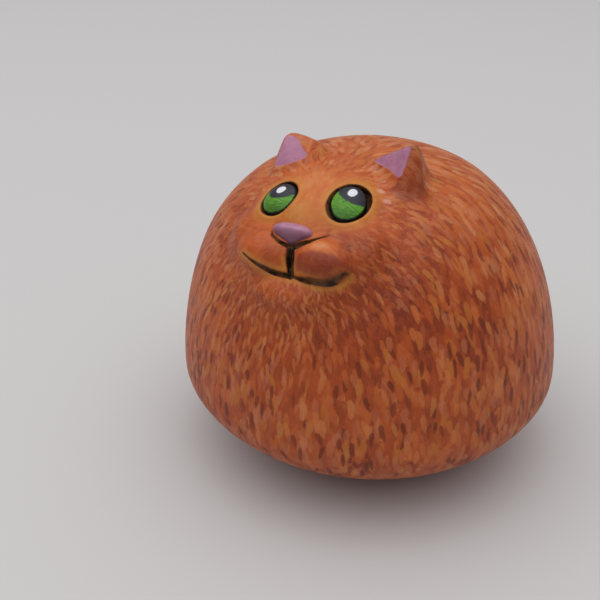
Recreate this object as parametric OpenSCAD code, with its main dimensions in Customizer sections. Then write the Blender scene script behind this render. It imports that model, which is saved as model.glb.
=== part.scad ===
// Round sitting cat: a hollow clay dome with a modelled face set into its
// upper front. +Z is up, the cat looks towards -Y, and the origin is at the
// middle of the flat foot. Left and right are those of a person who faces
// the cat. All sizes are in millimetres.

/* [Body] */
// Widest diameter of the round body
body_w = 54; // [50:1:58]
// Height of the body, without the ears
body_h = 46; // [45:1:48]
// Height of the widest ring above the surface it stands on
belly_h = 14; // [13:0.5:15]
// Depth of clay that is rubbed off the round bottom to make a flat foot
foot_cut = 0.8; // [0.5:0.1:1.2]
// Thickness of the clay wall
wall = 3; // [2.5:0.1:3.5]
// Diameter of the drain hole in the foot
drain_w = 3; // [2.5:0.1:3.5]

/* [Face] */
// Place of the face's middle, as a fraction of the outline from belly to top
face_at = 0.65; // [0.63:0.01:0.67]
// Sideways tilt of the head, the right side up
head_roll = 5; // [0:1:8]
// Diameter of the face piece
face_w = 22; // [21:0.5:22]
// Depth of the recess that the face piece is luted into
recess = 1.2; // [1:0.1:1.5]
// Height of the face's swelling above the body
face_swell = 1.9; // [1.7:0.1:2.1]

/* [Eyes] */
// Distance from the nose line to an eye's middle
eye_x = 4.7; // [4.4:0.1:5]
// Height of the eyes above the face's middle
eye_y = 5.8; // [5.5:0.1:6.2]
// Diameter of an eye
eye_w = 5.6; // [5:0.1:6]
// Diameter of the flared mouth of a socket
socket_w = 6.4; // [6.2:0.1:6.8]

/* [Muzzle] */
// Distance from the nose line to a muzzle pad's middle
pad_x = 3.6; // [3.4:0.1:4]
// Diameter of a muzzle pad where it sits on the face
pad_w = 6.8; // [6:0.1:7]
// Half the gap between the two muzzle pads
lip_gap = 0.3; // [0.2:0.05:0.4]
// Width of the mouth from corner to corner
mouth_w = 15; // [14:0.5:16]
// Width of the nose
nose_w = 5.6; // [5:0.1:6]

/* [Ears] */
// Distance from the nose line to the middle of an ear's root
ear_x = 6.8; // [6.5:0.1:7]
// Width of an ear's front face at its root
ear_w = 7.4; // [7:0.1:7.8]
// Distance from the nose line to an ear's tip
tip_x = 8.8; // [8:0.1:9]

/* [Hidden] */

fur = [0.78, 0.42, 0.20];
lip = [0.74, 0.45, 0.19];
mauve = [0.63, 0.42, 0.54];
iris = [0.30, 0.56, 0.16];

body_r = body_w / 2;
belly_rise = 0.19;      // pull of the widest ring on the outline above it
belly_drop = 0.24;      // the same on the outline below it
crown_flat = 0.92;      // pull of the flat top, all as fractions of body_r
foot_flat = 0.50;       // pull of the flat bottom
outline_steps = 26;     // points on each half of the outline
outline_step = 0.01;    // step along the outline for its slope
round_fn = 96;
small_fn = 32;
clear = 4;              // length that is sure to clear the skin

face_r = face_w / 2;
swell_up = 1;           // the swelling's middle above the face's middle
swell_r = 15;           // radius of the swelling
eye_dome = 4.2;         // radius of an eye's domed front
eye_back = 1.4;         // depth of an eye's flat back below the face
eye_proud = 0.9;        // how far an eye's dome stands above the face
flare_deep = 0.8;       // depth of the flare around an eye
pad_y = -0.6;
pad_ball = 4.3;         // radius of the ball that a muzzle pad is cut from
chin_y = -6.2;
chin_ball = 5;
chin_w = 5.6;
mouth_y = -2.2;         // height of the mouth's corners
mouth_arc = 7.2;        // radius of each half of the mouth line
mouth_turn = 62;        // sweep of each half, in degrees
mouth_drop = 0.9;       // fall of the mouth from its corners to its middle
mouth_line = 0.7;
mouth_deep = 0.8;
nose_y = 0;
nose_h = 1.3;
nose_z = 2.5;
nose_side = 0.5;        // fall of the nose's upper corners below its tip
nose_sink = 1.5;        // fall of its hidden back below the tip
nose_round = 0.75;
ear_root = [12.4, -4.8];   // y and z of an ear's root in the face's frame
ear_inner = [0.6, 0];      // its inner corner, from the root
ear_outer = [-0.8, -1.3];  // its outer corner, from the root
ear_rear = [3.4, -2];      // its rear corner, from the root
ear_tip = [15.4, -3.6];    // y and z of an ear's tip in the face's frame
ear_round = 0.8;

// Point at t on the smooth curve from p to q with the handles a and b
function curve(p, a, b, q, t) = pow(1 - t, 3) * p + 3 * pow(1 - t, 2) * t * a
    + 3 * (1 - t) * t * t * b + t * t * t * q;

// Outline above the widest ring, as [radius, height], taken in by inset
function crown(t, inset = 0) = let (r = body_r - inset, top = body_h - inset)
    curve([r, belly_h], [r, belly_h + belly_rise * r],
          [crown_flat * r, top], [0, top], t);

// Outline below the widest ring, from the bottom up
function bowl(t, inset = 0) = let (r = body_r - inset, low = inset - foot_cut)
    curve([0, low], [foot_flat * r, low],
          [r, belly_h - belly_drop * r], [r, belly_h], t);

function outline(inset) = concat(
    [for (i = [0 : outline_steps]) bowl(i / outline_steps, inset)],
    [for (i = [1 : outline_steps]) crown(i / outline_steps, inset)]);

// The face's middle on the outline, and how far it looks up
face_spot = crown(face_at);
face_run = crown(face_at + outline_step) - crown(face_at - outline_step);
face_tilt = atan2(-face_run[0], face_run[1]);

// Solid round body, taken in by inset millimetres
module dome(inset = 0) {
    difference() {
        rotate_extrude($fn = round_fn) polygon(outline(inset));
        translate([0, 0, -2 * foot_cut])
            cylinder(h = 2 * foot_cut, r = body_r, $fn = round_fn);
    }
}

// Frame of the face: x to the right, y up the face, z straight out of it
module at_face() {
    translate([0, -face_spot[0], face_spot[1]])
        rotate([90 - face_tilt, 0, 0])
            rotate([0, 0, head_roll])
                children();
}

// Ball whose cap is the face's swelling, taken in by inset millimetres
module swell_ball(inset = 0) {
    translate([0, swell_up, face_swell - swell_r])
        sphere(r = swell_r - inset, $fn = round_fn);
}

// Point (x, y) of the face, on the swelling, with z along its normal
module on_swell(x, y) {
    side = norm([x, y - swell_up]);
    turn = atan2(y - swell_up, x);
    translate([0, swell_up, face_swell - swell_r])
        rotate([0, 0, turn]) rotate([0, asin(side / swell_r), 0])
            rotate([0, 0, -turn]) translate([0, 0, swell_r])
                children();
}

// Cylinder along the face's axis that bounds the face piece
module face_plug() {
    translate([0, swell_up, -face_r])
        cylinder(h = face_w, r = face_r, $fn = round_fn);
}

// Everything under the skin of the face and the body
module under_skin() {
    dome();
    at_face() intersection() {
        swell_ball();
        face_plug();
    }
}

// Seat and flare of one eye; side is -1 or 1
module socket(side) {
    on_swell(side * eye_x, eye_y) {
        translate([0, 0, -eye_back])
            cylinder(h = clear, r = eye_w / 2, $fn = round_fn);
        translate([0, 0, -flare_deep])
            cylinder(h = 2 * flare_deep, r1 = eye_w / 2,
                     r2 = socket_w - eye_w / 2, $fn = round_fn);
    }
}

// One half of the mouth line, a bent band that is cut into the swelling
module mouth_half(side) {
    reach = mouth_w / 4;
    lift = sqrt(mouth_arc * mouth_arc - reach * reach);
    difference() {
        translate([side * reach, mouth_y + lift - mouth_drop, -clear])
            rotate([0, 0, 270 - mouth_turn / 2])
                rotate_extrude(angle = mouth_turn, $fn = round_fn)
                    translate([mouth_arc - mouth_line / 2, 0])
                        square([mouth_line, 2 * clear]);
        swell_ball(mouth_deep);
    }
}

// Ball that one muzzle pad is cut from, grown by extra millimetres
module pad_solid(side, extra = 0) {
    sink = sqrt(pad_ball * pad_ball - pad_w * pad_w / 4);
    on_swell(side * pad_x, pad_y) translate([0, 0, -sink])
        sphere(r = pad_ball + extra, $fn = round_fn);
}

module body_shell() {
    color(fur) difference() {
        dome();
        dome(wall);
        translate([0, 0, -wall])
            cylinder(h = 3 * wall, d = drain_w, $fn = round_fn);
        difference() {
            at_face() face_plug();
            dome(recess);
        }
    }
}

module face() {
    color(fur) difference() {
        intersection() {
            union() {
                dome();
                at_face() swell_ball();
            }
            at_face() face_plug();
        }
        dome(recess);
        at_face() for (side = [-1, 1]) {
            socket(side);
            mouth_half(side);
        }
    }
}

module muzzle_pad(side) {
    color(fur) difference() {
        at_face() intersection() {
            pad_solid(side);
            translate([side < 0 ? -face_r - lip_gap : lip_gap, -face_r, -clear])
                cube([face_r, face_w, 3 * clear]);
        }
        under_skin();
    }
}

module chin() {
    sink = sqrt(chin_ball * chin_ball - chin_w * chin_w / 4);
    color(lip) difference() {
        at_face() difference() {
            on_swell(0, chin_y) translate([0, 0, -sink])
                sphere(r = chin_ball, $fn = round_fn);
            for (side = [-1, 1]) pad_solid(side, mouth_line);
        }
        under_skin();
    }
}

// Small ball at a place, for the corners of the nose and the ears
module ball(place, r = nose_round) {
    translate(place) sphere(r = r, $fn = small_fn);
}

module nose() {
    corner = nose_w / 2 - nose_round;
    color(mauve) difference() {
        at_face() difference() {
            hull() {
                for (x = [-corner, corner])
                    ball([x, nose_y + nose_h, nose_z - nose_side]);
                ball([0, nose_y, nose_z]);
                ball([0, nose_y + nose_h, nose_z - nose_sink]);
            }
            for (side = [-1, 1]) pad_solid(side);
        }
        under_skin();
    }
}

// Three-sided rounded ear that stands on the shell
module ear(side) {
    half = ear_w / 2 - ear_round;
    corners = [concat(ear_x - half, ear_root + ear_inner),
               concat(ear_x + half, ear_root + ear_outer),
               concat(ear_x, ear_root + ear_rear),
               concat(tip_x, ear_tip)];
    color(fur) difference() {
        at_face() hull() for (corner = corners)
            ball([side * corner[0], corner[1], corner[2]], ear_round);
        under_skin();
    }
}

// Domed eye with a flat back
module eye(side) {
    color(iris) at_face() on_swell(side * eye_x, eye_y) intersection() {
        translate([0, 0, eye_proud - eye_dome])
            sphere(r = eye_dome, $fn = round_fn);
        translate([0, 0, -eye_back])
            cylinder(h = clear, r = eye_w / 2, $fn = round_fn);
    }
}

body_shell();
face();
muzzle_pad(-1);  // left_muzzle_pad
muzzle_pad(1);  // right_muzzle_pad
chin();
nose();
ear(-1);  // left_ear
ear(1);  // right_ear
eye(-1);  // left_eye
eye(1);  // right_eye
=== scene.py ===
# A palm-size, hand-modelled clay cat: a round hollow body with a small face
# that looks up from its upper front, painted all over with short fur strokes
# and varnished to a satin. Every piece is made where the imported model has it.

import math
from functools import partial

import bmesh
import bpy
import numpy as np
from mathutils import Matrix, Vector
from mathutils.kdtree import KDTree


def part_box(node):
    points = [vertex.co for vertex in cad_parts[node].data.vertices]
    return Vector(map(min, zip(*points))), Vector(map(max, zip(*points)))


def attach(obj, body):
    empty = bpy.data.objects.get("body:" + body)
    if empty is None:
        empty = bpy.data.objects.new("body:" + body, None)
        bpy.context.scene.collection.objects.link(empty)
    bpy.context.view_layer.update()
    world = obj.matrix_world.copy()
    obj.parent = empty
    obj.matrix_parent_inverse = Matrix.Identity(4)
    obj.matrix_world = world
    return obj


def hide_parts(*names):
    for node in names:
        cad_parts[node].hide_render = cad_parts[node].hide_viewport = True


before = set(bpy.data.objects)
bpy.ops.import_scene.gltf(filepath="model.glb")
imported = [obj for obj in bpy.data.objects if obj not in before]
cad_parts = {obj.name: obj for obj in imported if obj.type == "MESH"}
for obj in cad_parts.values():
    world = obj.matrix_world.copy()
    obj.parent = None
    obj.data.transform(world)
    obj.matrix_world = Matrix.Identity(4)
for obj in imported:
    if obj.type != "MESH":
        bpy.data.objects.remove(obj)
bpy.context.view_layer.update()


# ---- Body shell ------------------------------------------------------------
# The body is a hollow pot of clay about 3 mm thick, pinched round and closed
# at the crown. Its bottom is rubbed flat to stand on and has a drain hole,
# and a shallow recess in its upper front takes the face.

MM = 0.001
shell_low, shell_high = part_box("body_shell")
body_radius = (shell_high.x - shell_low.x) / 2
body_height = shell_high.z
belly_height = 0.304 * body_height        # height of the widest ring
foot_cut = 0.8 * MM
wall = 3.0 * MM
drain_radius = 1.5 * MM
pot_sizes = {"Radius": body_radius, "Height": body_height, "Belly": belly_height,
             "Foot Cut": foot_cut, "Wall": wall, "Drain": drain_radius}
belly_rise, belly_drop = 0.19, 0.24       # pulls of the outline, times radius
crown_flat, foot_flat = 0.92, 0.50
columns = 340                             # points round the pot
outline_steps = 240
outer_rows, inner_rows, hole_rows = (66, 104), (14, 24), 4


def outline_handles(radius, top, low, belly):
    """The two halves of the pot's outline, each as four (radius, height)."""
    bowl = [(0, low), (foot_flat * radius, low),
            (radius, belly - belly_drop * radius), (radius, belly)]
    crown = [(radius, belly), (radius, belly + belly_rise * radius),
             (crown_flat * radius, top), (0, top)]
    return bowl, crown


def new_tree(name, numbers):
    """A geometry tree with named number inputs; returns it and their sockets."""
    tree = bpy.data.node_groups.new(name, "GeometryNodeTree")
    face = tree.interface
    face.new_socket("Geometry", in_out="INPUT", socket_type="NodeSocketGeometry")
    face.new_socket("Geometry", in_out="OUTPUT", socket_type="NodeSocketGeometry")
    for label, value in numbers.items():
        kind = "NodeSocketInt" if isinstance(value, int) else "NodeSocketFloat"
        socket = face.new_socket(label, in_out="INPUT", socket_type=kind)
        socket.default_value = value
    ends = tree.nodes.new("NodeGroupInput"), tree.nodes.new("NodeGroupOutput")
    return tree, ends[0], ends[1]


def link_or_set(tree, socket, value):
    """Joins a node's output to the socket, or sets the socket's number."""
    if isinstance(value, bpy.types.NodeSocket):
        tree.links.new(value, socket)
    else:
        socket.default_value = value


def new_node(tree, kind, inputs=(), **settings):
    """A node with these settings, and these inputs by name or by number."""
    node = tree.nodes.new(kind)
    for name, value in settings.items():
        setattr(node, name, value)
    for label, value in dict(inputs).items():
        link_or_set(tree, node.inputs[label], value)
    return node


def math_node(tree, operation, *values):
    """One Math node of any tree, as its output."""
    node = new_node(tree, "ShaderNodeMath", enumerate(values), operation=operation)
    return node.outputs[0]


def maths(tree):
    """Any Math node of the tree as a function, then sum, difference, product."""
    calc = partial(math_node, tree)
    return calc, partial(calc, "ADD"), partial(calc, "SUBTRACT"), partial(calc, "MULTIPLY")


def combined(tree, *values):
    """A vector from its x, y and z."""
    return new_node(tree, "ShaderNodeCombineXYZ", enumerate(values)).outputs[0]


def parts_of(tree, vector):
    """The x, y and z of a vector."""
    return new_node(tree, "ShaderNodeSeparateXYZ", {0: vector}).outputs


def end_tree(tree, geometry, out):
    """Ends a geometry tree in plain geometry with the fur's paint on it."""
    real = new_node(tree, "GeometryNodeRealizeInstances", {0: geometry})
    coat = new_node(tree, "GeometryNodeSetMaterial",
                    {"Geometry": real.outputs[0], "Material": fur_paint})
    tree.links.new(coat.outputs[0], out.inputs[0])


def run_tree(obj, tree, values):
    """Runs the tree on the object with these inputs; returns a plain mesh."""
    modifier = obj.modifiers.new(tree.name, "NODES")
    modifier.node_group = tree
    names = {item.name: item.identifier for item in tree.interface.items_tree
             if item.in_out == "INPUT"}
    for label, value in values.items():
        modifier[names[label]] = value
    bpy.context.view_layer.update()
    ready = obj.evaluated_get(bpy.context.evaluated_depsgraph_get())
    mesh = bpy.data.meshes.new_from_object(ready)
    obj.modifiers.remove(modifier)
    return mesh


def pot_tree():
    """The pot: four stretches of its outline and the hole's wall, each turned
    round the axis as a grid, and joined into one closed skin."""
    tree, given, out = new_tree("round_pot", pot_sizes)
    radius, height, belly, cut, thick, drain = given.outputs[1:1 + len(pot_sizes)]
    calc, plus, less, times = maths(tree)

    def turned(pairs, rows):
        """A stretch of the outline, turned round the axis."""
        ends = zip(("Start", "Start Handle", "End Handle", "End"), pairs)
        curve = new_node(tree, "GeometryNodeCurvePrimitiveBezierSegment",
                         {"Resolution": outline_steps,
                          **{label: combined(tree, *pair) for label, pair in ends}})
        grid = new_node(tree, "GeometryNodeMeshGrid",
                        {"Size X": 1, "Size Y": 1, "Vertices X": columns + 1,
                         "Vertices Y": rows + 1})
        place = tree.nodes.new("GeometryNodeInputPosition").outputs[0]
        x, y, _ = parts_of(tree, place)
        sample = new_node(tree, "GeometryNodeSampleCurve",
                          {"Curves": curve.outputs[0], "Factor": plus(y, 0.5)},
                          mode="FACTOR")
        reach, up, _ = parts_of(tree, sample.outputs["Position"])
        turn = times(plus(x, 0.5), math.tau)
        # Below the belly nothing comes nearer to the axis than the drain hole.
        low_down = calc("LESS_THAN", up, belly)
        wide = calc("MAXIMUM", reach, times(drain, low_down))
        spot = combined(tree, times(wide, calc("COSINE", turn)),
                        times(wide, calc("SINE", turn)),
                        calc("MAXIMUM", up, 0.0))
        put = new_node(tree, "GeometryNodeSetPosition",
                       {"Geometry": grid.outputs["Mesh"], "Position": spot})
        return put.outputs[0]

    low = times(cut, -1.0)
    outer = outline_sockets(tree, radius, height, low, belly)
    inner = outline_sockets(tree, less(radius, thick), less(height, thick),
                            plus(low, thick), belly)
    hole = [(drain, times(inner[0][0][1], share))
            for share in (0.0, 0.3, 0.7, 1.0)]
    join = tree.nodes.new("GeometryNodeJoinGeometry")
    stretches = [*zip(outer, outer_rows), *zip(inner, inner_rows), (hole, hole_rows)]
    for pairs, rows in stretches:
        tree.links.new(turned(pairs, rows), join.inputs[0])
    merge = new_node(tree, "GeometryNodeMergeByDistance",
                     {"Geometry": join.outputs[0], "Distance": 0.004 * MM})
    end_tree(tree, merge.outputs[0], out)
    return tree


def outline_sockets(tree, radius, top, low, belly):
    """outline_handles, worked out by a tree's Math nodes."""
    _, plus, less, times = maths(tree)
    bowl = [(0.0, low), (times(radius, foot_flat), low),
            (radius, less(belly, times(radius, belly_drop))), (radius, belly)]
    crown = [(radius, belly), (radius, plus(belly, times(radius, belly_rise))),
             (times(radius, crown_flat), top), (0.0, top)]
    return bowl, crown


# The skin of the body as a field that is below 0 inside it. From here on the
# sizes are in millimetres.
pot_radius, pot_top, pot_belly = body_radius / MM, body_height / MM, belly_height / MM
heart = 20.0                              # height of the field's middle
lean = 0.041                              # forward lean, per millimetre up
upright_at = 0.85 * pot_radius            # height that the lean leaves in place
left_shoulder = np.array([-21.5, -3.5, 31.0])


def curve_points(handles, count):
    """Points along one smooth stretch of outline."""
    t = np.linspace(0, 1, count)[:, None]
    p = np.array(handles, float)
    return ((1 - t) ** 3 * p[0] + 3 * (1 - t) ** 2 * t * p[1]
            + 3 * (1 - t) * t ** 2 * p[2] + t ** 3 * p[3])


bowl_half, crown_half = outline_handles(pot_radius, pot_top, -foot_cut / MM, pot_belly)
rim = np.vstack([curve_points(bowl_half, 700), curve_points(crown_half, 1100)[1:]])
rim_angle = np.arctan2(rim[:, 1] - heart, rim[:, 0])
rim_reach = np.hypot(rim[:, 0], rim[:, 1] - heart)
rim_run = np.gradient(rim, axis=0)
rim_slant = ((rim[:, 0] * rim_run[:, 1] - (rim[:, 1] - heart) * rim_run[:, 0])
             / (rim_reach * np.hypot(rim_run[:, 0], rim_run[:, 1]) + 1e-12))


def thumbed(p):
    """How far the pot stands out from a true round: full at its left shoulder,
    pressed flat at its crown."""
    off_shoulder = np.linalg.norm(p - left_shoulder, axis=-1)
    return (0.55 * np.exp(-(off_shoulder / 7.5) ** 2)
            - 0.50 * ramp(p[..., 2], 40.5, 45.5))


def body_field(p):
    """Distance outside the leaning pot, near its skin."""
    y = p[..., 1] + lean * (p[..., 2] - upright_at)
    across = np.hypot(p[..., 0], y)
    up = p[..., 2] - heart
    angle = np.arctan2(up, across)
    reach = np.interp(angle, rim_angle, rim_reach)
    slant = np.interp(angle, rim_angle, rim_slant)
    return (np.hypot(across, up) - reach) * slant - thumbed(p)


# The face's own frame: its middle lies on the outline, and it is rolled a
# little to one side. x runs to the right, y up the face and z out of it.
face_share, head_roll = 0.65, math.radians(5)
crown_line = curve_points(crown_half, 1001)
face_spot = crown_line[int(1000 * face_share)]
face_next = crown_line[int(1000 * face_share) + 5]
face_tilt = math.atan2(face_spot[0] - face_next[0], face_next[1] - face_spot[1])
face_origin = np.array([0, -face_spot[0] - lean * (face_spot[1] - upright_at),
                        face_spot[1]])
face_up = np.array([0, math.sin(face_tilt), math.cos(face_tilt)])
face_out = np.array([0, -math.cos(face_tilt), math.sin(face_tilt)])
face_right = np.array([math.cos(head_roll), 0, 0]) + math.sin(head_roll) * face_up
face_up = np.cross(face_out, face_right)
face_axes = np.array([face_right, face_up, face_out])


def to_face(p):
    """Places on the cat, as places in the face's frame."""
    return (p - face_origin) @ face_axes.T


def from_face(q):
    """Places in the face's frame, as places on the cat."""
    return q @ face_axes + face_origin


def blend(a, b, soft):
    """Union of two fields with a soft fillet."""
    share = np.clip(0.5 + 0.5 * (b - a) / soft, 0, 1)
    return b + (a - b) * share - soft * share * (1 - share)


swell_radius, swell_rise, swell_up = 15.0, 1.9, 1.0   # the head's swelling, a ball
swell_middle = np.array([0, swell_up, swell_rise - swell_radius])
swell_soft = 0.9


def skin_field(p):
    """The body with the low swelling of the head."""
    swell = np.linalg.norm(to_face(p) - swell_middle, axis=-1) - swell_radius
    return blend(body_field(p), swell, swell_soft)


def land(p, way, field, reach=4.0):
    """Moves points along the unit vector way onto the field's skin."""
    low = np.full(len(p), -reach)
    high = np.full(len(p), reach)
    for _ in range(26):
        middle = (low + high) / 2
        outside = field(p + middle[:, None] * way) > 0
        high = np.where(outside, middle, high)
        low = np.where(outside, low, middle)
    return p + ((low + high) / 2)[:, None] * way


def ramp(value, start, end):
    """Smooth step from 0 at start to 1 at end."""
    t = np.clip((value - start) / (end - start), 0, 1)
    return t * t * (3 - 2 * t)


def numbers_of(items, key, wide=1, kind=np.float32):
    """One property of every item, in rows of this many numbers."""
    flat = np.empty(len(items) * wide, kind)
    items.foreach_get(key, flat)
    return flat if wide == 1 else flat.reshape(-1, wide)


def coords(mesh):
    """The mesh's points in millimetres."""
    return numbers_of(mesh.vertices, "co", 3).astype(float) / MM


def set_coords(mesh, p):
    """Moves the mesh's points to these places, given in millimetres."""
    mesh.vertices.foreach_set("co", (p * MM).astype(np.float32).ravel())
    mesh.update()


def store(mesh, name, values, domain="POINT"):
    """Saves a number or a vector for each vertex or corner, for a material."""
    values = np.asarray(values, np.float32)
    kind, key = ("FLOAT", "value") if values.ndim == 1 else ("FLOAT_VECTOR", "vector")
    made = mesh.attributes.new(name, kind, domain)
    made.data.foreach_set(key, values.ravel())


# Fur paint. Each stroke reaches the surface through one of the stroke layers:
# a corner attribute with the place along and across the stroke, in half
# lengths and half widths, and the stroke's tone.
LAYERS = 7


def shader(name):
    """A new material with its output; returns it, its tree and its Principled."""
    material = bpy.data.materials.new(name)
    material.use_nodes = True
    tree = material.node_tree
    return material, tree, tree.nodes["Principled BSDF"]


def attribute(tree, name, output="Fac"):
    """What store() saved under this name."""
    node = new_node(tree, "ShaderNodeAttribute", attribute_name=name)
    return node.outputs[output]


def noise(tree, vector, scale, detail=2.0, rough=0.5):
    """Cloudy noise, about 0.3 to 0.7; scale is in waves per metre."""
    node = new_node(tree, "ShaderNodeTexNoise", {"Vector": vector, "Scale": scale,
                                                 "Detail": detail, "Roughness": rough})
    return node.outputs["Fac"]


def about_zero(tree, value, size):
    """A number from 0 to 1, centred on 0 and then multiplied by size."""
    return math_node(tree, "MULTIPLY", math_node(tree, "SUBTRACT", value, 0.5), size)


def spread(tree, value, low, high, start=0.0, end=1.0, smooth=False):
    """Map Range from low..high to start..end."""
    node = new_node(tree, "ShaderNodeMapRange",
                    {"Value": value, "From Min": low, "From Max": high,
                     "To Min": start, "To Max": end},
                    interpolation_type="SMOOTHSTEP" if smooth else "LINEAR")
    return node.outputs["Result"]


def raise_paint(tree, skin, height, deep):
    """Gives the paint relief, this many millimetres deep where height is 1."""
    bump = new_node(tree, "ShaderNodeBump", {"Strength": 1.0, "Distance": deep * MM,
                                             "Height": height})
    tree.links.new(bump.outputs[0], skin.inputs["Normal"])


def mix(tree, share, a, b):
    """Mixes two colours."""
    node = new_node(tree, "ShaderNodeMix", {"Factor": share}, data_type="RGBA")
    ends = [socket for socket in node.inputs if socket.type == "RGBA"]
    for socket, colour in zip(ends, (a, b)):
        plain = not isinstance(colour, bpy.types.NodeSocket)
        link_or_set(tree, socket, (*colour, 1) if plain else colour)
    return next(socket for socket in node.outputs if socket.type == "RGBA")


def tone_ramp(tree, value, stops):
    """Colours from a number between 0 and 1."""
    node = tree.nodes.new("ShaderNodeValToRGB")
    ramp_points = node.color_ramp.elements
    while len(ramp_points) < len(stops):
        ramp_points.new(0.5)
    for element, (place, colour) in zip(ramp_points, stops):
        element.position = place
        element.color = (*colour, 1)
    tree.links.new(value, node.inputs["Fac"])
    return node.outputs["Color"]


fur_tones = ((0.00, (0.095, 0.013, 0.004)), (0.16, (0.185, 0.027, 0.006)),
             (0.34, (0.335, 0.052, 0.009)), (0.52, (0.465, 0.087, 0.014)),
             (0.70, (0.545, 0.134, 0.027)), (0.86, (0.575, 0.186, 0.054)),
             (1.00, (0.585, 0.240, 0.100)))


def stroke_group():
    """One layer of strokes: lays the stroke's colour and paint over the last."""
    group = bpy.data.node_groups.new("stroke_layer", "ShaderNodeTree")
    for label, kind in (("Under", "Color"), ("Thick", "Float"), ("Stroke", "Vector"),
                        ("Place", "Vector"), ("Calm", "Float")):
        group.interface.new_socket(label, in_out="INPUT",
                                   socket_type="NodeSocket" + kind)
    for label, kind in (("Over", "Color"), ("Thick", "Float")):
        group.interface.new_socket(label, in_out="OUTPUT",
                                   socket_type="NodeSocket" + kind)
    given, out = group.nodes.new("NodeGroupInput"), group.nodes.new("NodeGroupOutput")
    calc, plus, less, times = maths(group)
    along, across, tone = parts_of(group, given.outputs["Stroke"])
    seed = calc("FRACT", times(tone, 917.0))
    # The brush lands full and lifts to a point, and bends a little on its way.
    bend = about_zero(group, seed, times(times(along, along), 0.55))
    side = plus(across, bend)
    taper = spread(group, along, -1.0, 1.0, 1.0, 0.62)
    far_along = calc("POWER", calc("ABSOLUTE", along), 2.4)
    far_across = calc("POWER", calc("ABSOLUTE", calc("DIVIDE", side, taper)), 2.0)
    reach = calc("SQRT", plus(far_along, far_across))
    wobble = noise(group, given.outputs["Place"], 1500.0, 2.0)
    reach = plus(reach, about_zero(group, wobble, 0.55))
    mask = spread(group, reach, 1.0, 0.66, 0.0, 1.0, True)
    # Bristle lines run along the stroke and open up towards its end.
    bristle_at = combined(group, times(along, 0.7),
                          times(side, 3.2), times(seed, 40.0))
    bristle = noise(group, bristle_at, 1.6, 2.0)
    dry = spread(group, along, 0.0, 1.0, 1.0, 0.55)
    opening = spread(group, bristle, 0.30, 0.62, dry, 1.0, True)
    mask = times(mask, opening)
    strength = spread(group, seed, 0.0, 1.0, 0.36, 0.72)
    strength = calc("MAXIMUM", strength, spread(group, tone, 0.30, 0.24, 0.0, 0.80))
    strength = times(strength, spread(group, given.outputs["Calm"], 0.0, 1.0, 1.0, 0.34))
    shade = plus(tone, about_zero(group, bristle, 0.22))
    colour = tone_ramp(group, shade, fur_tones)
    lit = spread(group, tone, 0.40, 0.55)
    ochre = times(spread(group, seed, 0.84, 0.88), 0.60)
    colour = mix(group, times(lit, ochre), colour, (0.450, 0.150, 0.018))
    rose = times(spread(group, seed, 0.30, 0.24), 0.50)
    colour = mix(group, times(lit, rose), colour, (0.490, 0.180, 0.105))
    over = mix(group, times(mask, strength), given.outputs["Under"], colour)
    group.links.new(over, out.inputs["Over"])
    # New paint fills half of the relief that it covers, and adds its own.
    ridge = plus(times(mask, 0.75), times(mask, times(bristle, 0.5)))
    lift = plus(times(given.outputs["Thick"], less(1.0, times(mask, 0.5))), ridge)
    group.links.new(lift, out.inputs["Thick"])
    return group


strokes = stroke_group()


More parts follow.
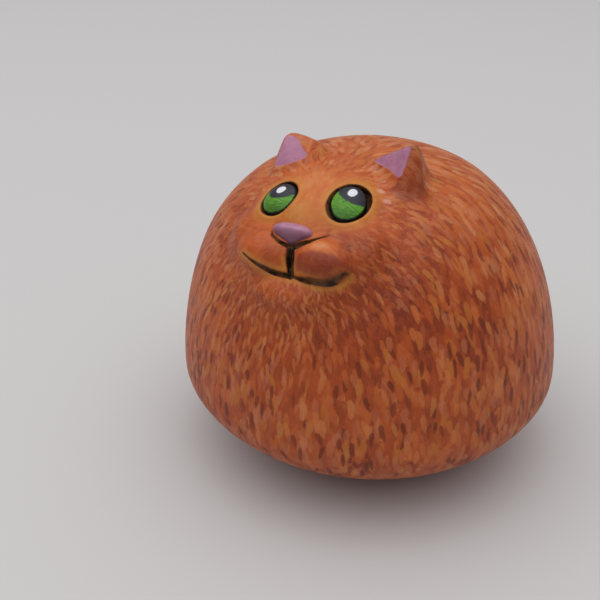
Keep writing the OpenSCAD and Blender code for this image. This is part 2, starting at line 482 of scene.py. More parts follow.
def fur_material(name):
    """Orange base coat, layered strokes, then the details' paint: dark furrows that also
    carry painted shade, ochre round the eyes with a painted highlight along the mouth,
    red-brown patches that are partly painted shade, and the mauve of the ear fronts."""
    material, tree, skin = shader(name)
    place = tree.nodes.new("ShaderNodeTexCoord").outputs["Object"]
    calc, plus, less, times = maths(tree)
    broad = noise(tree, place, 90.0, 3.0)
    grain = noise(tree, place, 900.0, 3.0, 0.6)
    calm = attribute(tree, "calm")
    base = attribute(tree, "base_tone")
    smear_at = new_node(tree, "ShaderNodeVectorMath", {0: place, 1: (2.2, 1.2, 0.8)},
                        operation="MULTIPLY").outputs[0]
    smear = noise(tree, smear_at, 330.0, 4.0, 0.62)
    clouds = plus(about_zero(tree, broad, 0.5), about_zero(tree, smear, 0.75))
    under_tone = plus(base, clouds)
    colour = tone_ramp(tree, under_tone, fur_tones)
    thick = times(grain, 0.4)
    for layer in range(LAYERS):
        node = new_node(tree, "ShaderNodeGroup",
                        {"Under": colour, "Thick": thick, "Place": place, "Calm": calm,
                         "Stroke": attribute(tree, f"stroke_{layer}", "Vector")},
                        node_tree=strokes)
        colour, thick = node.outputs["Over"], node.outputs["Thick"]
    wave = about_zero(tree, noise(tree, place, 700.0, 3.0), 0.5)
    # Ochre round the eyes and on the bridge of the nose, and along the mouth's edges a
    # painted highlight on the lip.
    ochre = times(attribute(tree, "ochre"),
                  spread(tree, noise(tree, place, 500.0), 0.3, 0.7, 0.45, 1.0))
    colour = mix(tree, times(ochre, 0.9), colour, (0.520, 0.200, 0.026))
    # Red-brown on the muzzle pads and the right ear's outer side: partly paint, partly
    # painted shade.
    red_brown_and_shade = times(attribute(tree, "red_brown_and_shade"),
                 spread(tree, noise(tree, smear_at, 600.0), 0.35, 0.65, 0.7, 1.0))
    colour = mix(tree, times(red_brown_and_shade, 0.92), colour, (0.205, 0.027, 0.007))
    speck = times(attribute(tree, "speck"), spread(tree, grain, 0.35, 0.6, 0.25, 0.75))
    colour = mix(tree, speck, colour, (0.680, 0.390, 0.300))
    mauve = plus(attribute(tree, "mauve"), times(wave, 0.5))
    mauve = spread(tree, mauve, -0.06, 0.06, 0.0, 1.0, True)
    mauve_colour = mix(tree, spread(tree, grain, 0.35, 0.7), (0.370, 0.150, 0.240),
                       (0.460, 0.200, 0.305))
    colour = mix(tree, mauve, colour, mauve_colour)
    # Black-brown lines in the furrows and sockets, also serving as painted shade in the
    # mouth's groove and the creases beside the nose.
    ink_and_shade = plus(attribute(tree, "ink_and_shade"), times(wave, 0.35))
    ink_and_shade = spread(tree, ink_and_shade, -0.05, 0.08, 1.0, 0.0, True)
    dark = mix(tree, spread(tree, grain, 0.36, 0.60), (0.012, 0.006, 0.004),
               (0.135, 0.055, 0.016))
    colour = mix(tree, ink_and_shade, colour, dark)
    tree.links.new(colour, skin.inputs["Base Color"])
    rough = spread(tree, grain, 0.3, 0.7, 0.40, 0.58)
    tree.links.new(rough, skin.inputs["Roughness"])
    even = less(1.0, times(calm, 0.75))
    raise_paint(tree, skin, times(times(thick, even), less(1.0, mauve)), 0.05)
    skin.inputs["Specular IOR Level"].default_value = 0.28
    skin.inputs["Coat Weight"].default_value = 0.06
    skin.inputs["Coat Roughness"].default_value = 0.35
    return material


def add_object(name, data):
    """A new object in the scene."""
    made = bpy.data.objects.new(name, data)
    bpy.context.scene.collection.objects.link(made)
    return made


fur_paint = fur_material("fur_paint")
clay = add_object("clay_blank", bpy.data.meshes.new("clay_blank"))
body_mesh = run_tree(clay, pot_tree(), pot_sizes)
bpy.data.objects.remove(clay)


def new_piece(name, mesh, material, node):
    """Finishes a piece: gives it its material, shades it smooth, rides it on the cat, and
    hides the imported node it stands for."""
    mesh.name = name
    mesh.materials.clear()
    mesh.materials.append(material)
    mesh.polygons.foreach_set("use_smooth", [True] * len(mesh.polygons))
    piece = add_object(name, mesh)
    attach(piece, "root")
    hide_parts(node)
    return piece


def turn_outwards(mesh):
    """Makes every face of a closed mesh point out of it."""
    work = bmesh.new()
    work.from_mesh(mesh)
    bmesh.ops.recalc_face_normals(work, faces=work.faces)
    work.to_mesh(mesh)
    work.free()


def ruddy_and_shade(p):
    """Share of the darker red-brown zone on the right of the chest at each place: partly
    red-brown paint, partly painted shade on the lower front.
    """
    return np.exp(-(np.linalg.norm(p - [13.0, -17.0, 34.0], axis=1) / 10.5) ** 2)


def store_base(mesh):
    """How calm the brushwork is, and the tone of the coat under the strokes."""
    p = coords(mesh)
    q = to_face(p)
    offset = q - [0, 1.5, 1.0]
    offset[:, 1] *= np.where(offset[:, 1] < 0, 1.55, 0.92)
    reach = np.linalg.norm(offset, axis=1)
    calm = 1 - ramp(reach, 6.5, 13.5)
    brow = ramp(q[:, 1], 0.5, 8.0)
    store(mesh, "calm", calm)
    # A painted highlight on top of the right muzzle pad.
    pale = np.exp(-((q[:, 0] - 4.6) / 1.7) ** 2 - ((q[:, 1] + 0.1) / 0.9) ** 2)
    # The coat is darker in the red-brown zone and towards the bottom, and lighter towards
    # the crown and back: partly its own tone, partly painted shade on the lower front and
    # painted light on the crown.
    store(mesh, "base_tone", 0.46 + calm * (0.04 + 0.26 * brow + 0.50 * pale)
          - 0.23 * ruddy_and_shade(p) - 0.07 * (1 - ramp(p[:, 2], 20.0, 40.0))
          + 0.12 * ramp(q[:, 1] - 0.8 * q[:, 2], 8.0, 22.0))


# The turned pot is leaned and thumbed to shape, its front is brought onto the
# skin with the head's swelling, and the recess is sunk where the face will lie.
recess = 1.2
recess_rim = (10.1, 10.8)
swell_reach, swell_back, skin_depth = 21.0, -13.0, 0.5
turn_outwards(body_mesh)
pot = coords(body_mesh)
pot[:, 1] -= lean * (pot[:, 2] - upright_at)
from_heart = pot - [0, 0, heart]
from_heart /= np.linalg.norm(from_heart, axis=1)[:, None]
outer_side = np.abs(body_field(pot) + thumbed(pot)) < 0.3
pot += (outer_side * thumbed(pot))[:, None] * from_heart
pot_in_face = to_face(pot)
ring = np.hypot(pot_in_face[:, 0], pot_in_face[:, 1] - swell_up)
front = ((ring < swell_reach) & (pot_in_face[:, 2] > swell_back)
         & (np.abs(body_field(pot)) < skin_depth))
pot[front] = land(pot[front], face_out, skin_field)
sunk = 2 * recess * (1 - ramp(ring, *recess_rim))
pot[front] -= sunk[front, None] * face_out
pot[:, 2] = np.maximum(pot[:, 2], 0)
set_coords(body_mesh, pot)
fur_pieces = [new_piece("cat_body", body_mesh, fur_paint, "body_shell")]
for label, value in (("ink_and_shade", 9.0), ("ochre", 0.0), ("red_brown_and_shade", 0.0), ("mauve", -9.0)):
    store(body_mesh, label, np.full(len(pot), value))
store_base(body_mesh)


# ---- Face ------------------------------------------------------------------
# The face is a cap of clay luted into the recess and smoothed over its joint.
# The eye sockets are pressed into it, the mouth is cut with a needle, and both are lined
# with thin black-brown paint, which in the mouth's groove and the creases beside the nose
# also stands in as painted shade.

face_radius = 12.4
face_fade = 11.5                          # where the cap starts to dip under
socket_deep, socket_wall = 1.9, 0.32
furrow_deep = 0.75
lip_left, lip_right = -4.0, -4.18         # lowest heights of the mouth's halves
sockets = {"left": (np.array([-4.25, 5.70]), np.array([2.72, 2.70])),
           "right": (np.array([4.92, 6.52]), np.array([2.42, 2.96]))}


def polar_sheet(middle, radius, rings, spokes):
    """Places of a round sheet in a plane: its middle, then ring after ring."""
    share = (np.arange(rings) + 1) / rings
    turn = np.arange(spokes) * math.tau / spokes
    x = middle[0] + radius * np.outer(share, np.cos(turn)).ravel()
    y = middle[1] + radius * np.outer(share, np.sin(turn)).ravel()
    return np.vstack([[middle], np.c_[x, y]])


def sheet_mesh(name, front, back, rings, spokes):
    """Closed piece from two round sheets of points that share a rim."""
    count = len(front)
    faces = []
    for sheet in (0, 1):
        first = sheet * count
        for k in range(spokes):
            a, b = first + 1 + k, first + 1 + (k + 1) % spokes
            faces.append((first, a, b) if sheet == 0 else (first, b, a))
        for ring_at in range(rings - 1):
            inner = first + 1 + ring_at * spokes
            outer = inner + spokes
            for k in range(spokes):
                n = (k + 1) % spokes
                loop = (inner + k, outer + k, outer + n, inner + n)
                faces.append(loop if sheet == 0 else loop[::-1])
    rim_front = 1 + (rings - 1) * spokes
    rim_back = count + rim_front
    for k in range(spokes):
        n = (k + 1) % spokes
        faces.append((rim_front + k, rim_back + k, rim_back + n, rim_front + n))
    mesh = bpy.data.meshes.new(name)
    mesh.from_pydata((np.vstack([front, back]) * MM).tolist(), [], faces)
    mesh.update()
    return mesh


def line_gap(x, y, line):
    """Distance to a line of (x, y, half width), less its half width there."""
    gap = np.full(len(x), 99.0)
    for (ax, ay, aw), (bx, by, bw) in zip(line[:-1], line[1:]):
        along = ((x - ax) * (bx - ax) + (y - ay) * (by - ay)) / (
            (bx - ax) ** 2 + (by - ay) ** 2)
        along = np.clip(along, 0, 1)
        reach = np.hypot(x - ax - along * (bx - ax), y - ay - along * (by - ay))
        gap = np.minimum(gap, reach - aw - along * (bw - aw))
    return gap


def left_lip(x):
    """Height of the mouth's left half."""
    return lip_left + 1.45 * np.abs(x / 5.6) ** 2.3


def mouth_line(side):
    """Half of the smile, a shallow curve that thins out at its corner."""
    share = np.linspace(0, 1, 15)
    if side < 0:
        x = 0.4 - 6.0 * share
        y = left_lip(x)
        width = 0.32 - 0.27 * share ** 1.5
    else:
        x = 0.9 + 6.8 * share
        y = lip_right + 0.027 * np.abs(x - 3.6) ** np.where(x < 3.6, 2, 3)
        width = 0.04 + 0.23 * np.sin(math.pi * share ** 0.8)
    return list(zip(x, y, width))


# The mouth, the philtrum, and the crease under each side of the nose.
furrows = [mouth_line(-1), mouth_line(1),
           [(0.26, -0.5, 0.46), (0.64, -2.2, 0.70), (0.80, -3.9, 0.46)],
           [(-2.9, 1.05, 0.03), (-2.4, 0.25, 0.11), (-1.2, -0.42, 0.18),
            (0.1, -0.75, 0.30)],
           [(0.3, -0.78, 0.42), (1.5, -0.38, 0.46), (2.6, 0.22, 0.33),
            (3.5, 0.95, 0.15), (4.4, 1.65, 0.03)]]


def furrow_gap(x, y):
    """Distance to the nearest furrow's edge, below 0 inside it."""
    gaps = [line_gap(x, y, line) for line in furrows]
    return np.min(gaps, axis=0)


def socket_reach(x, y):
    """Distance from the nearer socket's edge, positive outside it."""
    reach = np.full(len(x), 99.0)
    for middle, size in sockets.values():
        share = np.hypot((x - middle[0]) / size[0], (y - middle[1]) / size[1])
        reach = np.minimum(reach, (share - 1) * size.mean())
    return reach


def ball_field(q, middle, size):
    """Distance outside an egg of three half sizes, in the face's frame."""
    offset = (q - np.array(middle)) / np.array(size)
    far = np.linalg.norm(offset, axis=-1)
    slope = np.linalg.norm(offset / np.array(size), axis=-1)
    return far * (far - 1) / (slope + 1e-9)


def face_field(p):
    """Skin with the bridge of the nose and the cheeks under the eyes."""
    q = to_face(p)
    field = blend(skin_field(p), ball_field(q, (0, 2.6, 0.5), (2.2, 3.6, 1.9)), 1.4)
    for side in (-1, 1):
        cheek = ball_field(q, (side * 6.2, 0.9, -2.2), (4.0, 3.4, 3.0))
        field = blend(field, cheek, 1.6)
    return field


def relief(q):
    """What is pressed and cut into the face, less the low lids round the eyes."""
    reach = socket_reach(q[:, 0], q[:, 1])
    socket = socket_deep * (1 - ramp(reach, -socket_wall, 0.0))
    lid = 0.14 * np.exp(-((reach - 0.35) / 0.32) ** 2)
    furrow = furrow_deep * (1 - ramp(furrow_gap(q[:, 0], q[:, 1]), -0.30, 0.12))
    return furrow + socket - lid


def paint_marks(mesh, q):
    """Numbers that tell the paint where furrows, sockets and tints lie."""
    reach = socket_reach(q[:, 0], q[:, 1])
    furrow = furrow_gap(q[:, 0], q[:, 1])
    # Black-brown paint in the furrows and sockets, which also serves as painted shade in
    # the mouth's groove and the creases beside the nose.
    store(mesh, "ink_and_shade", np.minimum(reach - 0.05, furrow))
    halo = 1 - ramp(reach, 0.2, 1.7)
    bridge = np.exp(-(q[:, 0] / 3.0) ** 2 - ((q[:, 1] - 3.6) / 2.6) ** 2)
    # An ochre band along the mouth's edges, low on the face, is a painted highlight on the
    # lip.
    lip = np.exp(-((furrow - 0.25) / 0.3) ** 2) * (q[:, 1] < -2.0)
    store(mesh, "ochre", np.clip(np.maximum(np.maximum(halo, bridge), lip), 0, 1))
    # A red-brown patch on the lower front of the right pad and a faint one on the left:
    # partly red-brown paint, partly painted shade under the pads.
    patch = (1.0 * ramp(np.hypot((q[:, 0] - 4.9) / 3.6, (q[:, 1] + 2.4) / 1.5), 1.15, 0.75)
             + 0.25 * ramp(np.hypot((q[:, 0] + 1.6) / 1.6, (q[:, 1] + 2.2) / 1.5),
                           1.3, 0.3))
    store(mesh, "red_brown_and_shade", patch * (q[:, 2] > 0))
    store(mesh, "mauve", np.full(len(q), -9.0))
    # Two pale specks that the brush left beside the right eye.
    specks = [np.hypot((q[:, 0] - x) / wide, (q[:, 1] - y) / tall)
              for x, y, wide, tall in ((7.35, 9.60, 0.60, 0.30), (8.55, 8.45, 0.55, 0.48))]
    store(mesh, "speck", 1 - ramp(np.min(specks, axis=0), 0.6, 1.3))
    store_base(mesh)


def luted_piece(name, middle, radius, rings, spokes, field, tuck, thick=1.15):
    """A round patch of the cat's skin as a closed piece. Its front lies on the
    field and dips under its neighbours where tuck says; its back is under it."""
    plane = polar_sheet(middle, radius, rings, spokes)
    start = from_face(np.c_[plane, np.full(len(plane), -2.0)])
    front = land(start, face_out, field, 14.0)
    q = to_face(front)
    q[:, 2] += 0.02 - relief(q) - tuck(q)
    back = q.copy()
    back[:, 2] -= thick
    back[-spokes:] = q[-spokes:]
    back[-spokes:, 2] -= 0.05
    mesh = sheet_mesh(name, from_face(q), from_face(back), rings, spokes)
    paint_marks(mesh, np.vstack([q, q]))
    return mesh


def face_tuck(q):
    """The cap's rim dips into the body all round."""
    ring_at = np.hypot(q[:, 0], q[:, 1] - swell_up)
    return 1.2 * ramp(ring_at, face_fade, face_radius + 0.4)


face_mesh = luted_piece("cat_face", (0, swell_up), face_radius, 88, 420, face_field,
                        face_tuck, thick=0.85)
fur_pieces.append(new_piece("cat_face", face_mesh, fur_paint, "face"))


# ---- Muzzle pads -----------------------------------------------------------
# Two flattened balls of clay, luted side by side on the face. The needle's
# furrow runs between and below them, and their upper edges are smoothed in.

pad_size = (3.9, 2.75, 2.6)
pad_soft = 1.0


def pad_middle(side):
    """A pad's middle; the head's roll sets one pad a little lower."""
    return (side * 3.75 + 0.25, -1.45 - 0.05 * side, 0.65)


def pad_field(side):
    """The face's skin with one pad on it."""
    def field(p):
        pad = ball_field(to_face(p), pad_middle(side), pad_size)
        return blend(face_field(p), pad, pad_soft)
    return field


def pad_tuck(side):
    """A pad fades out on the cheek, and stops short at the philtrum."""
    def tuck(q):
        edge = ball_field(q, pad_middle(side), pad_size)
        over_line = ramp(-side * (q[:, 0] - 0.3), -0.1, 0.5)
        return 0.5 * ramp(edge, 0.75 * pad_soft, 1.6 * pad_soft) + 1.2 * over_line
    return tuck


for side, label in ((-1, "left"), (1, "right")):
    middle = pad_middle(side)[:2]
    mesh = luted_piece(f"{label}_pad", middle, 5.4, 54, 220, pad_field(side),
                       pad_tuck(side))
    fur_pieces.append(new_piece(f"cat_{label}_pad", mesh, fur_paint,
                                f"{label}_muzzle_pad"))


# ---- Chin ------------------------------------------------------------------
# A small roll of clay under the mouth makes the lower lip. It is smoothed downwards into
# the chest, and its edge at the mouth gets an ochre painted highlight.

chin_middle = (0.4, -5.9, -0.55)
chin_size = (4.4, 1.7, 1.5)
chin_soft = 1.3


def chin_field(p):
    """The face's skin with the lower lip on it."""
    lip = ball_field(to_face(p), chin_middle, chin_size)
    return blend(face_field(p), lip, chin_soft)


def chin_tuck(q):
    """The lip fades out on the chest, and stops short at the mouth."""
    edge = ball_field(q, chin_middle, chin_size)
    mouth = np.where(q[:, 0] < 0.6, left_lip(q[:, 0]),
                     lip_right + 0.06 * (q[:, 0] - 3.6) ** 2)
    under = q[:, 1] - mouth
    return (0.5 * ramp(edge, 0.75 * chin_soft, 1.5 * chin_soft)
            + 1.0 * ramp(under, -0.05, 0.4))


chin_mesh = luted_piece("chin", chin_middle[:2], 6.0, 50, 200, chin_field, chin_tuck)
fur_pieces.append(new_piece("cat_chin", chin_mesh, fur_paint, "chin"))


# ---- Nose ------------------------------------------------------------------
# A pinched wedge of clay with a rounded triangular outline, pressed on above the muzzle
# and painted mauve, with painted shade where it turns under, so that it is lighter along
# its upper edge.

nose_middle = np.array([-0.10, 1.15])
nose_half_width, nose_drop, nose_rise = 2.65, 1.50, 1.05
nose_foot, nose_shelf, nose_ridge = 1.9, 3.05, 0.52   # heights out of the face


def nose_outline(turn):
    """Distance from the nose's middle to its edge: wide above, a point below."""
    x, y = np.abs(np.cos(turn)), np.sin(turn)
    power = np.where(y < 0, 1.45, 2.4)
    tall = np.where(y < 0, nose_drop, nose_rise)
    return ((x / nose_half_width) ** power + (np.abs(y) / tall) ** power) ** (-1 / power)


def nose_mesh(rings=30, spokes=120):
    """The wedge: highest at its upper ridge, rolling down to a tip below."""
    turn = np.arange(spokes) * math.tau / spokes
    edge = nose_outline(turn)
    for _ in range(6):
        edge = (edge + 0.5 * np.roll(edge, 1) + 0.5 * np.roll(edge, -1)) / 2
    points = [[*nose_middle, nose_shelf + nose_ridge + 0.05]]
    for ring_at in range(1, rings + 1):
        share = ring_at / rings
        x = nose_middle[0] + edge * share * np.cos(turn)
        y = nose_middle[1] + edge * share * np.sin(turn)
        dome = (1 - share ** 2.6) ** (1 / 2.2)
        up = y - nose_middle[1]
        top = nose_shelf + 0.10 * up + nose_ridge * np.exp(-(up / 0.7) ** 2)
        z = nose_foot + (top - nose_foot) * dome
        points += np.c_[x, y, z].tolist()
    front = np.array(points)
    back = front.copy()
    back[:, 2] = nose_foot - 0.9
    return sheet_mesh("nose", from_face(front), from_face(back), rings, spokes)


def mauve_material():
    """Thin mauve paint, darker where the nose turns under: partly its own tone, mostly
    painted shade.
    """
    material, tree, skin = shader("mauve_paint")
    place = tree.nodes.new("ShaderNodeTexCoord").outputs["Object"]
    grain = noise(tree, place, 700.0, 3.0)
    colour = mix(tree, spread(tree, grain, 0.3, 0.7), (0.380, 0.155, 0.250),
                 (0.480, 0.220, 0.325))
    colour = mix(tree, attribute(tree, "shade"), colour, (0.150, 0.050, 0.095))
    tree.links.new(colour, skin.inputs["Base Color"])
    tree.links.new(spread(tree, grain, 0.3, 0.7, 0.36, 0.52), skin.inputs["Roughness"])
    raise_paint(tree, skin, grain, 0.02)
    return material


nose = nose_mesh()
nose_q = to_face(coords(nose))
store(nose, "shade", 0.85 * (1 - ramp(nose_q[:, 1], 0.1, 1.5)))
new_piece("cat_nose", nose, mauve_material(), "nose")


# ---- Ears ------------------------------------------------------------------
# Thick three-sided ears, pinched from clay and stood on the shell, with their
# roots smoothed into it. Their fronts are painted mauve.

ear_soft = 1.0
ear_reach = 6.6                           # radius of the patch that holds an ear
ears = {"left": {"tip": (-9.35, -6.1, 47.5), "round": 1.9, "lift": 0.72, "fade": 1.5,
                 "front": (0.04, -0.79, 0.61), "outer": (-0.98, -0.12, 0.17),
                 "inner": (0.50, -0.33, 0.80), "rear": (-0.10, 0.85, 0.52)},
        "right": {"tip": (8.9, -6.05, 48.85), "round": 1.0, "lift": 0.45, "fade": 0.0,
                  "front": (-0.34, -0.81, 0.47), "outer": (0.61, -0.73, 0.32),
                  "inner": (-0.25, 0.79, 0.56), "rear": (0.95, 0.22, 0.20)}}


def ear_faces(label, p):
    """Distance outside each of the ear's four faces."""
    ear = ears[label]
    away = p - np.array(ear["tip"])
    ways = {name: np.array(ear[name]) / np.linalg.norm(ear[name])
            for name in ("front", "outer", "inner", "rear")}
    return {name: away @ way - ear["lift"] for name, way in ways.items()}


def ear_field(label):
    """Distance outside the ear, its four faces rounded into one another."""
    def field(p):
        inside = [-gap for gap in ear_faces(label, p).values()]
        edge = inside[0]
        for gap in inside[1:]:
            edge = blend(edge, gap, ears[label]["round"])
        return -edge
    return field


def ear_mesh(label, rings=72, spokes=220):
    """Patch of skin that rises into the ear, closed underneath."""
    side = -1 if label == "left" else 1
    own = ear_field(label)
    tip = np.array(ears[label]["tip"])
    up = np.array([0.15 * side, -0.05, 1.0])
    up /= np.linalg.norm(up)
    right = np.cross(np.array([0, 1.0, 0]), up)
    right /= np.linalg.norm(right)
    fore = np.cross(up, right)
    plane = polar_sheet((0, 0), ear_reach, rings, spokes)
    start = tip + plane[:, :1] * right + plane[:, 1:] * fore - 4.0 * up

    def field(p):
        return blend(skin_field(p), own(p), ear_soft)

    front = land(start, up, field, 9.0)
    off = own(front)
    aside = np.hypot(plane[:, 0], plane[:, 1])
    tuck = (0.5 * ramp(off, 0.8 * ear_soft, 1.6 * ear_soft) + 2.2 * ramp(off, 1.4, 3.0)
            + ears[label]["fade"] * ramp(aside, 3.0, 6.4))
    front = front + (0.02 - tuck)[:, None] * up
    floor = land(start, up, skin_field, 9.0)
    back = floor - (1.2 + tuck)[:, None] * up
    back[-spokes:] = front[-spokes:] - 0.05 * up
    mesh = sheet_mesh(label + "_ear", front, back, rings, spokes)
    both = np.vstack([front, back])
    gaps = ear_faces(label, both)
    height = skin_field(both)
    if label == "left":
        insets = (0.50, 0.28, 1.25)
        lower = 0.80 - 0.10 * (both[:, 0] + 8.0)
        side_paint_and_shade = np.zeros(len(both))
    else:
        insets = (0.45, 0.50, 0.80)
        lower = 0.66 + 0.18 * (both[:, 0] - 3.0)
        # On the right ear the outer side is red-brown, most strongly low down: partly
        # paint, partly painted shade on the side away from the light.
        low_down = 0.85 - 0.45 * ramp(both[:, 2], 43.5, 47.5)
        side_paint_and_shade = low_down * ramp(gaps["outer"], -0.95, -0.55) * ramp(height, 0.0, 0.4)
    patch = height - lower
    for name, inset in zip(("outer", "inner", "rear"), insets):
        patch = blend(patch, -gaps[name] - inset, 0.7)
    store(mesh, "mauve", patch)
    store(mesh, "ink_and_shade", np.full(len(both), 9.0))
    store(mesh, "ochre", np.zeros(len(both)))
    store(mesh, "red_brown_and_shade", side_paint_and_shade)
    store_base(mesh)
    return mesh


for label in ("left", "right"):
    fur_pieces.append(new_piece(f"cat_{label}_ear", ear_mesh(label), fur_paint,
                                f"{label}_ear"))


# ---- Eyes ------------------------------------------------------------------
# Domed discs of clay, pressed into the sockets. Each is painted with a large
# charcoal pupil that looks up, a green iris below it and a white spark.

eye_rise, eye_sink, eye_gap = 0.85, 0.20, 0.20
eye_thick = 1.6
eye_turn = 0.25                           # share of the face's own way out
paint_edge = 0.89                         # where the dark rim starts on the plan
eye_plans = {"left": {"pupil": (0.12, 0.71, 0.90), "spark": (0.11, 0.36, 0.25)},
             "right": {"pupil": (0.23, 1.07, 1.20), "spark": (0.03, 0.46, 0.25)}}


def eye_mesh(label, rings=36, spokes=120):
    """The dome on its flat-backed disc, with its own painting plan."""
    middle, size = sockets[label]
    plan = polar_sheet((0, 0), 1.0, rings, spokes)
    plane = plan * (size - eye_gap)
    spot = from_face(np.array([[*middle, 0.0]]))
    spot = land(spot, face_out, skin_field, 6.0)[0]
    step = 0.05
    slope = np.array([skin_field(spot + step * axis) - skin_field(spot - step * axis)
                      for axis in np.eye(3)]).ravel()
    # Square to the skin, and turned a little to look the way the face does.
    out = slope / np.linalg.norm(slope)
    out = out + eye_turn * face_out
    out /= np.linalg.norm(out)
    right = face_right - out * (face_right @ out)
    right /= np.linalg.norm(right)
    up = np.cross(out, right)
    share = np.hypot(plan[:, 0], plan[:, 1])
    height = eye_rise * (1 - share ** 2) - eye_sink - 0.5 * ramp(share, 0.9, 1.0)
    front = spot + plane[:, :1] * right + plane[:, 1:] * up + height[:, None] * out
    back = front - (height + eye_thick)[:, None] * out
    mesh = sheet_mesh(label + "_eye", front, back, rings, spokes)
    both = np.vstack([plan, plan])
    for name, (x, y, radius) in eye_plans[label].items():
        store(mesh, name, np.hypot(both[:, 0] - x, both[:, 1] - y) - radius)
    store(mesh, "plan", np.c_[both, np.zeros(len(both))])
    return mesh


def eye_material():
    """Charcoal, green and white paint on the eye's own plan, which runs from
    -1 to 1 each way."""
    material, tree, skin = shader("eye_paint")
    place = tree.nodes.new("ShaderNodeTexCoord").outputs["Object"]
    calc, plus, less, times = maths(tree)
    x, y, _ = parts_of(tree, attribute(tree, "plan", "Vector"))
    wave = about_zero(tree, noise(tree, place, 900.0), 0.14)

    def inside(reach, soft=0.03):
        return spread(tree, plus(reach, wave), -soft, soft, 1.0, 0.0, True)

    # Brush marks run across the eye, finer up and down than sideways.
    streak_at = combined(tree, times(x, 2.0), times(y, 9.0))
    streak = noise(tree, streak_at, 1.5, 3.0)
    iris = mix(tree, spread(tree, streak, 0.35, 0.65), (0.042, 0.165, 0.008),
               (0.130, 0.370, 0.022))
    iris = mix(tree, spread(tree, y, -0.2, -0.85, 0.0, 0.6, True), iris,
               (0.022, 0.075, 0.012))
    pupil = mix(tree, spread(tree, streak, 0.3, 0.7), (0.013, 0.014, 0.020),
                (0.030, 0.032, 0.042))
    colour = mix(tree, inside(attribute(tree, "pupil")), iris, pupil)
    rim = less(calc("SQRT", plus(times(x, x), times(y, y))), paint_edge)
    edge = less(1.0, inside(rim, 0.04))
    colour = mix(tree, edge, colour, (0.012, 0.009, 0.008))
    spark_gap = attribute(tree, "spark")
    spark = inside(spark_gap, 0.035)
    colour = mix(tree, spark, colour, (0.76, 0.76, 0.79))
    ring = spread(tree, calc("ABSOLUTE", plus(spark_gap, 0.13)), 0.0, 0.04, 0.45, 0.0)
    colour = mix(tree, ring, colour, (0.40, 0.40, 0.45))
    tree.links.new(colour, skin.inputs["Base Color"])
    raise_paint(tree, skin, plus(spark, times(streak, 0.5)), 0.03)
    tree.links.new(spread(tree, streak, 0.3, 0.7, 0.36, 0.48), skin.inputs["Roughness"])
    skin.inputs["Specular IOR Level"].default_value = 0.3
    return material


eye_paint = eye_material()
for label in ("left", "right"):
    new_piece(f"cat_{label}_eye", eye_mesh(label), eye_paint, f"{label}_eye")


# ---- Fur strokes -----------------------------------------------------------
# When the clay is dry and coated orange, short strokes of thinned paint are
# brushed on, dark ones first and light ones over them. They run down the body
# from the crown and fan out round the face.

seed = 20311
body_gap, face_gap = 0.62, 0.46           # least distance between strokes
near_long, more_long = 0.70, 0.78         # half length at the face, and added
near_wide, more_wide = 0.27, 0.31         # away from it; then half width
dark_share, mid_share = 0.13, 0.47
fan_reach = 20.0                          # how far the fan round the face goes
parting = np.array([0, 0, 34.0])


def place_tree():
    """Scatters stroke places over a piece, never closer than a set gap."""
    tree, given, out = new_tree("stroke_places", {"Gap": 0.6 * MM, "Seed": 1})
    scatter = new_node(tree, "GeometryNodeDistributePointsOnFaces",
                       {"Mesh": given.outputs["Geometry"], "Density Max": 4e6,
                        "Distance Min": given.outputs["Gap"],
                        "Seed": given.outputs["Seed"]}, distribute_method="POISSON")
    keep = new_node(tree, "GeometryNodeStoreNamedAttribute",
                    {"Geometry": scatter.outputs["Points"], "Name": "way_out",
                     "Value": scatter.outputs["Normal"]}, data_type="FLOAT_VECTOR")
    dots = new_node(tree, "GeometryNodePointsToVertices", {0: keep.outputs[0]})
    end_tree(tree, dots.outputs[0], out)
    return tree


scatter_tree = place_tree()
draw = np.random.default_rng(seed)
spots, outs, fine = [], [], []
for number, piece in enumerate(fur_pieces):
    on_body = piece.name == "cat_body"
    gap = body_gap if on_body else face_gap
    dots = run_tree(piece, scatter_tree, {"Gap": gap * MM, "Seed": number + 3})
    where = coords(dots)
    normal = numbers_of(dots.attributes["way_out"].data, "vector", 3).astype(float)
    bpy.data.meshes.remove(dots)
    shown = skin_field(where) > -0.12
    spots.append(where[shown])
    outs.append(normal[shown])
    fine.append(np.full(shown.sum(), 0.0 if on_body else 1.0))
spots, outs, fine = np.vstack(spots), np.vstack(outs), np.concatenate(fine)

# Each stroke runs away from the face near it, and down the body elsewhere.
from_nose = spots - from_face(np.array([0, 0.5, 1.0]))
reach = np.linalg.norm(from_nose, axis=1)
pull = np.exp(-(reach / fan_reach) ** 2)
down = np.array([0, 0, -1.0])
crown_way = spots - parting
crown_way[:, 2] = -np.abs(crown_way[:, 2]) * 0.2
flow = (pull[:, None] * from_nose / (reach[:, None] + 1e-6)
        + (1 - pull)[:, None] * (down + crown_way / 30.0))
flow -= outs * (flow * outs).sum(1)[:, None]
flow /= np.linalg.norm(flow, axis=1)[:, None] + 1e-9
count = len(spots)
swing = draw.normal(0, 0.16, count) + 0.25 * fine * draw.normal(0, 1, count)
aside = np.cross(outs, flow)
along_way = flow * np.cos(swing)[:, None] + aside * np.sin(swing)[:, None]
across_way = np.cross(outs, along_way)
far = ramp(reach, 8, 22)
half_long = (near_long + more_long * far) * draw.uniform(0.75, 1.2, count)
half_wide = (near_wide + more_wide * far) * draw.uniform(0.75, 1.25, count)
kind = draw.uniform(0, 1, count)
dark = kind < dark_share
half_wide = np.where(dark, 0.76, 1.0) * half_wide
half_long = np.where(dark, 0.85, 1.0) * half_long
mid = ~dark & (kind < dark_share + mid_share)
tone = np.where(dark, draw.uniform(0.12, 0.25, count),
                np.where(mid, draw.uniform(0.34, 0.58, count),
                         draw.uniform(0.60, 0.98, count)))
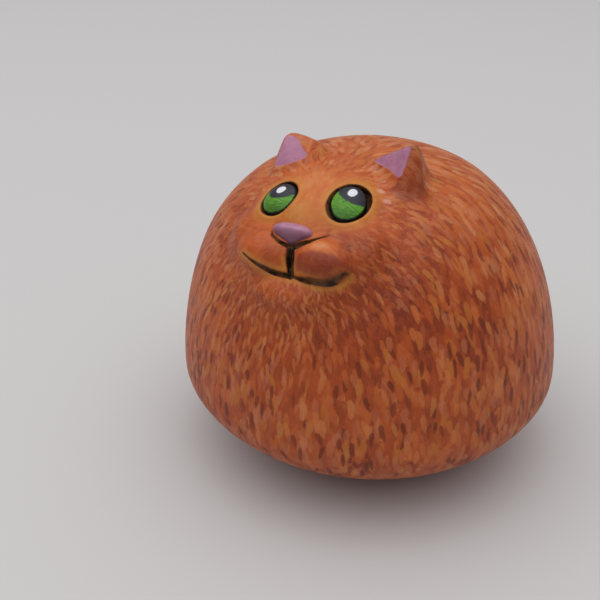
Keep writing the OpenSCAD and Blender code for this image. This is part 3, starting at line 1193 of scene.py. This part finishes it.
# Dark strokes are lighter on the face pieces. All strokes are lighter towards the crown
# and darker low down and in the red-brown zone: partly the coat's own tones, partly
# painted light on the crown and painted shade on the lower front.
tone += dark * (0.10 * fine + 0.06 * ramp(spots[:, 2], 36, 45))
tone += 0.14 * ramp(spots[:, 2], 22, 44) - 0.06 - 0.20 * ruddy_and_shade(spots) * (tone > 0.3)
tone = np.clip(tone, 0.01, 0.99)
rank = draw.uniform(0, 1, count) + np.where(dark, 0.45, np.where(mid, 0.0, 0.3))


def paint_strokes(mesh):
    """Hands each polygon the topmost strokes that touch it, as corner values."""
    where = coords(mesh)
    sizes = numbers_of(mesh.polygons, "loop_total", kind=np.int32)
    corner = numbers_of(mesh.loops, "vertex_index", kind=np.int32)
    owner = np.repeat(np.arange(len(sizes)), sizes)
    middle = np.zeros((len(sizes), 3))
    np.add.at(middle, owner, where[corner])
    middle /= sizes[:, None]
    spread_out = np.zeros(len(sizes))
    np.maximum.at(spread_out, owner,
                  np.linalg.norm(where[corner] - middle[owner], axis=1))
    tree = KDTree(len(middle))
    for index, point in enumerate(middle):
        tree.insert(point, index)
    tree.balance()
    margin = float(np.percentile(spread_out, 95))
    polygons, dabs = [], []
    low, high = where.min(0) - 3, where.max(0) + 3
    reachable = np.where(((spots > low) & (spots < high)).all(1))[0]
    for dab in reachable:
        hits = tree.find_range(spots[dab], half_long[dab] * 1.15 + margin)
        found = [hit[1] for hit in hits]
        polygons.append(np.array(found, np.int32))
        dabs.append(np.full(len(found), dab, np.int32))
    polygons, dabs = np.concatenate(polygons), np.concatenate(dabs)
    offset = middle[polygons] - spots[dabs]
    a = (offset * along_way[dabs]).sum(1)
    b = (offset * across_way[dabs]).sum(1)
    off = (offset * outs[dabs]).sum(1)
    pad = spread_out[polygons]
    inside = ((a / (half_long[dabs] * 1.1 + pad)) ** 2
              + (b / (half_wide[dabs] * 1.3 + pad)) ** 2 < 1) & (np.abs(off) < 1.0)
    polygons, dabs = polygons[inside], dabs[inside]
    order = np.lexsort((-rank[dabs], polygons))
    polygons, dabs = polygons[order], dabs[order]
    first = np.searchsorted(polygons, polygons)
    level = np.arange(len(polygons)) - first
    for layer in range(LAYERS):
        chosen = np.full(len(sizes), -1)
        here = level == LAYERS - 1 - layer
        chosen[polygons[here]] = dabs[here]
        mine = chosen[owner]
        value = np.zeros((len(owner), 3), np.float32)
        value[:, 0] = 9.0
        have = mine >= 0
        dab = mine[have]
        offset = where[corner[have]] - spots[dab]
        value[have, 0] = (offset * along_way[dab]).sum(1) / half_long[dab]
        value[have, 1] = (offset * across_way[dab]).sum(1) / half_wide[dab]
        value[have, 2] = tone[dab]
        store(mesh, f"stroke_{layer}", value, "CORNER")


for piece in fur_pieces:
    paint_strokes(piece.data)


# ---- Floor, light and camera -----------------------------------------------
# A plain pale sheet under one wide soft light, looked at from above and from
# the right of the cat's front.

floor_mesh = bpy.data.meshes.new("floor")
half_sheet = 1.5
sheet_corners = [(x * half_sheet, y * half_sheet, 0)
                 for x, y in ((-1, -1), (1, -1), (1, 1), (-1, 1))]
floor_mesh.from_pydata(sheet_corners, [], [(0, 1, 2, 3)])
floor = add_object("floor", floor_mesh)
floor_paint, _, floor_skin = shader("pale_sheet")
floor_skin.inputs["Base Color"].default_value = (0.575, 0.558, 0.555, 1)
floor_skin.inputs["Roughness"].default_value = 0.9
floor_mesh.materials.append(floor_paint)

world = bpy.data.worlds.new("studio")
bpy.context.scene.world = world
world.use_nodes = True
room = world.node_tree.nodes["Background"]
room.inputs["Color"].default_value = (0.95, 0.96, 1, 1)
room.inputs["Strength"].default_value = 0.30

lamp = bpy.data.lights.new("overhead", "AREA")
lamp.shape = "DISK"
lamp.size = 1.80
lamp.energy = 11.3
overhead = add_object("overhead", lamp)
overhead.location = (-0.02, -0.12, 0.85)
lamp_aim = Vector((0, 0, 0.02)) - overhead.location
overhead.rotation_euler = lamp_aim.to_track_quat("-Z", "Y").to_euler()

camera_data = bpy.data.cameras.new("camera")
camera_data.lens = 55.8
camera_data.sensor_width = 36
camera_data.clip_start = 0.005
camera = add_object("camera", camera_data)
camera.location = np.array([54.52, -105.89, 86.67]) * MM
camera_aim = Vector((-0.4653, 0.7446, -0.4787))
camera.rotation_euler = camera_aim.to_track_quat("-Z", "Y").to_euler()
bpy.context.scene.camera = camera
bpy.context.scene.view_settings.view_transform = "Standard"
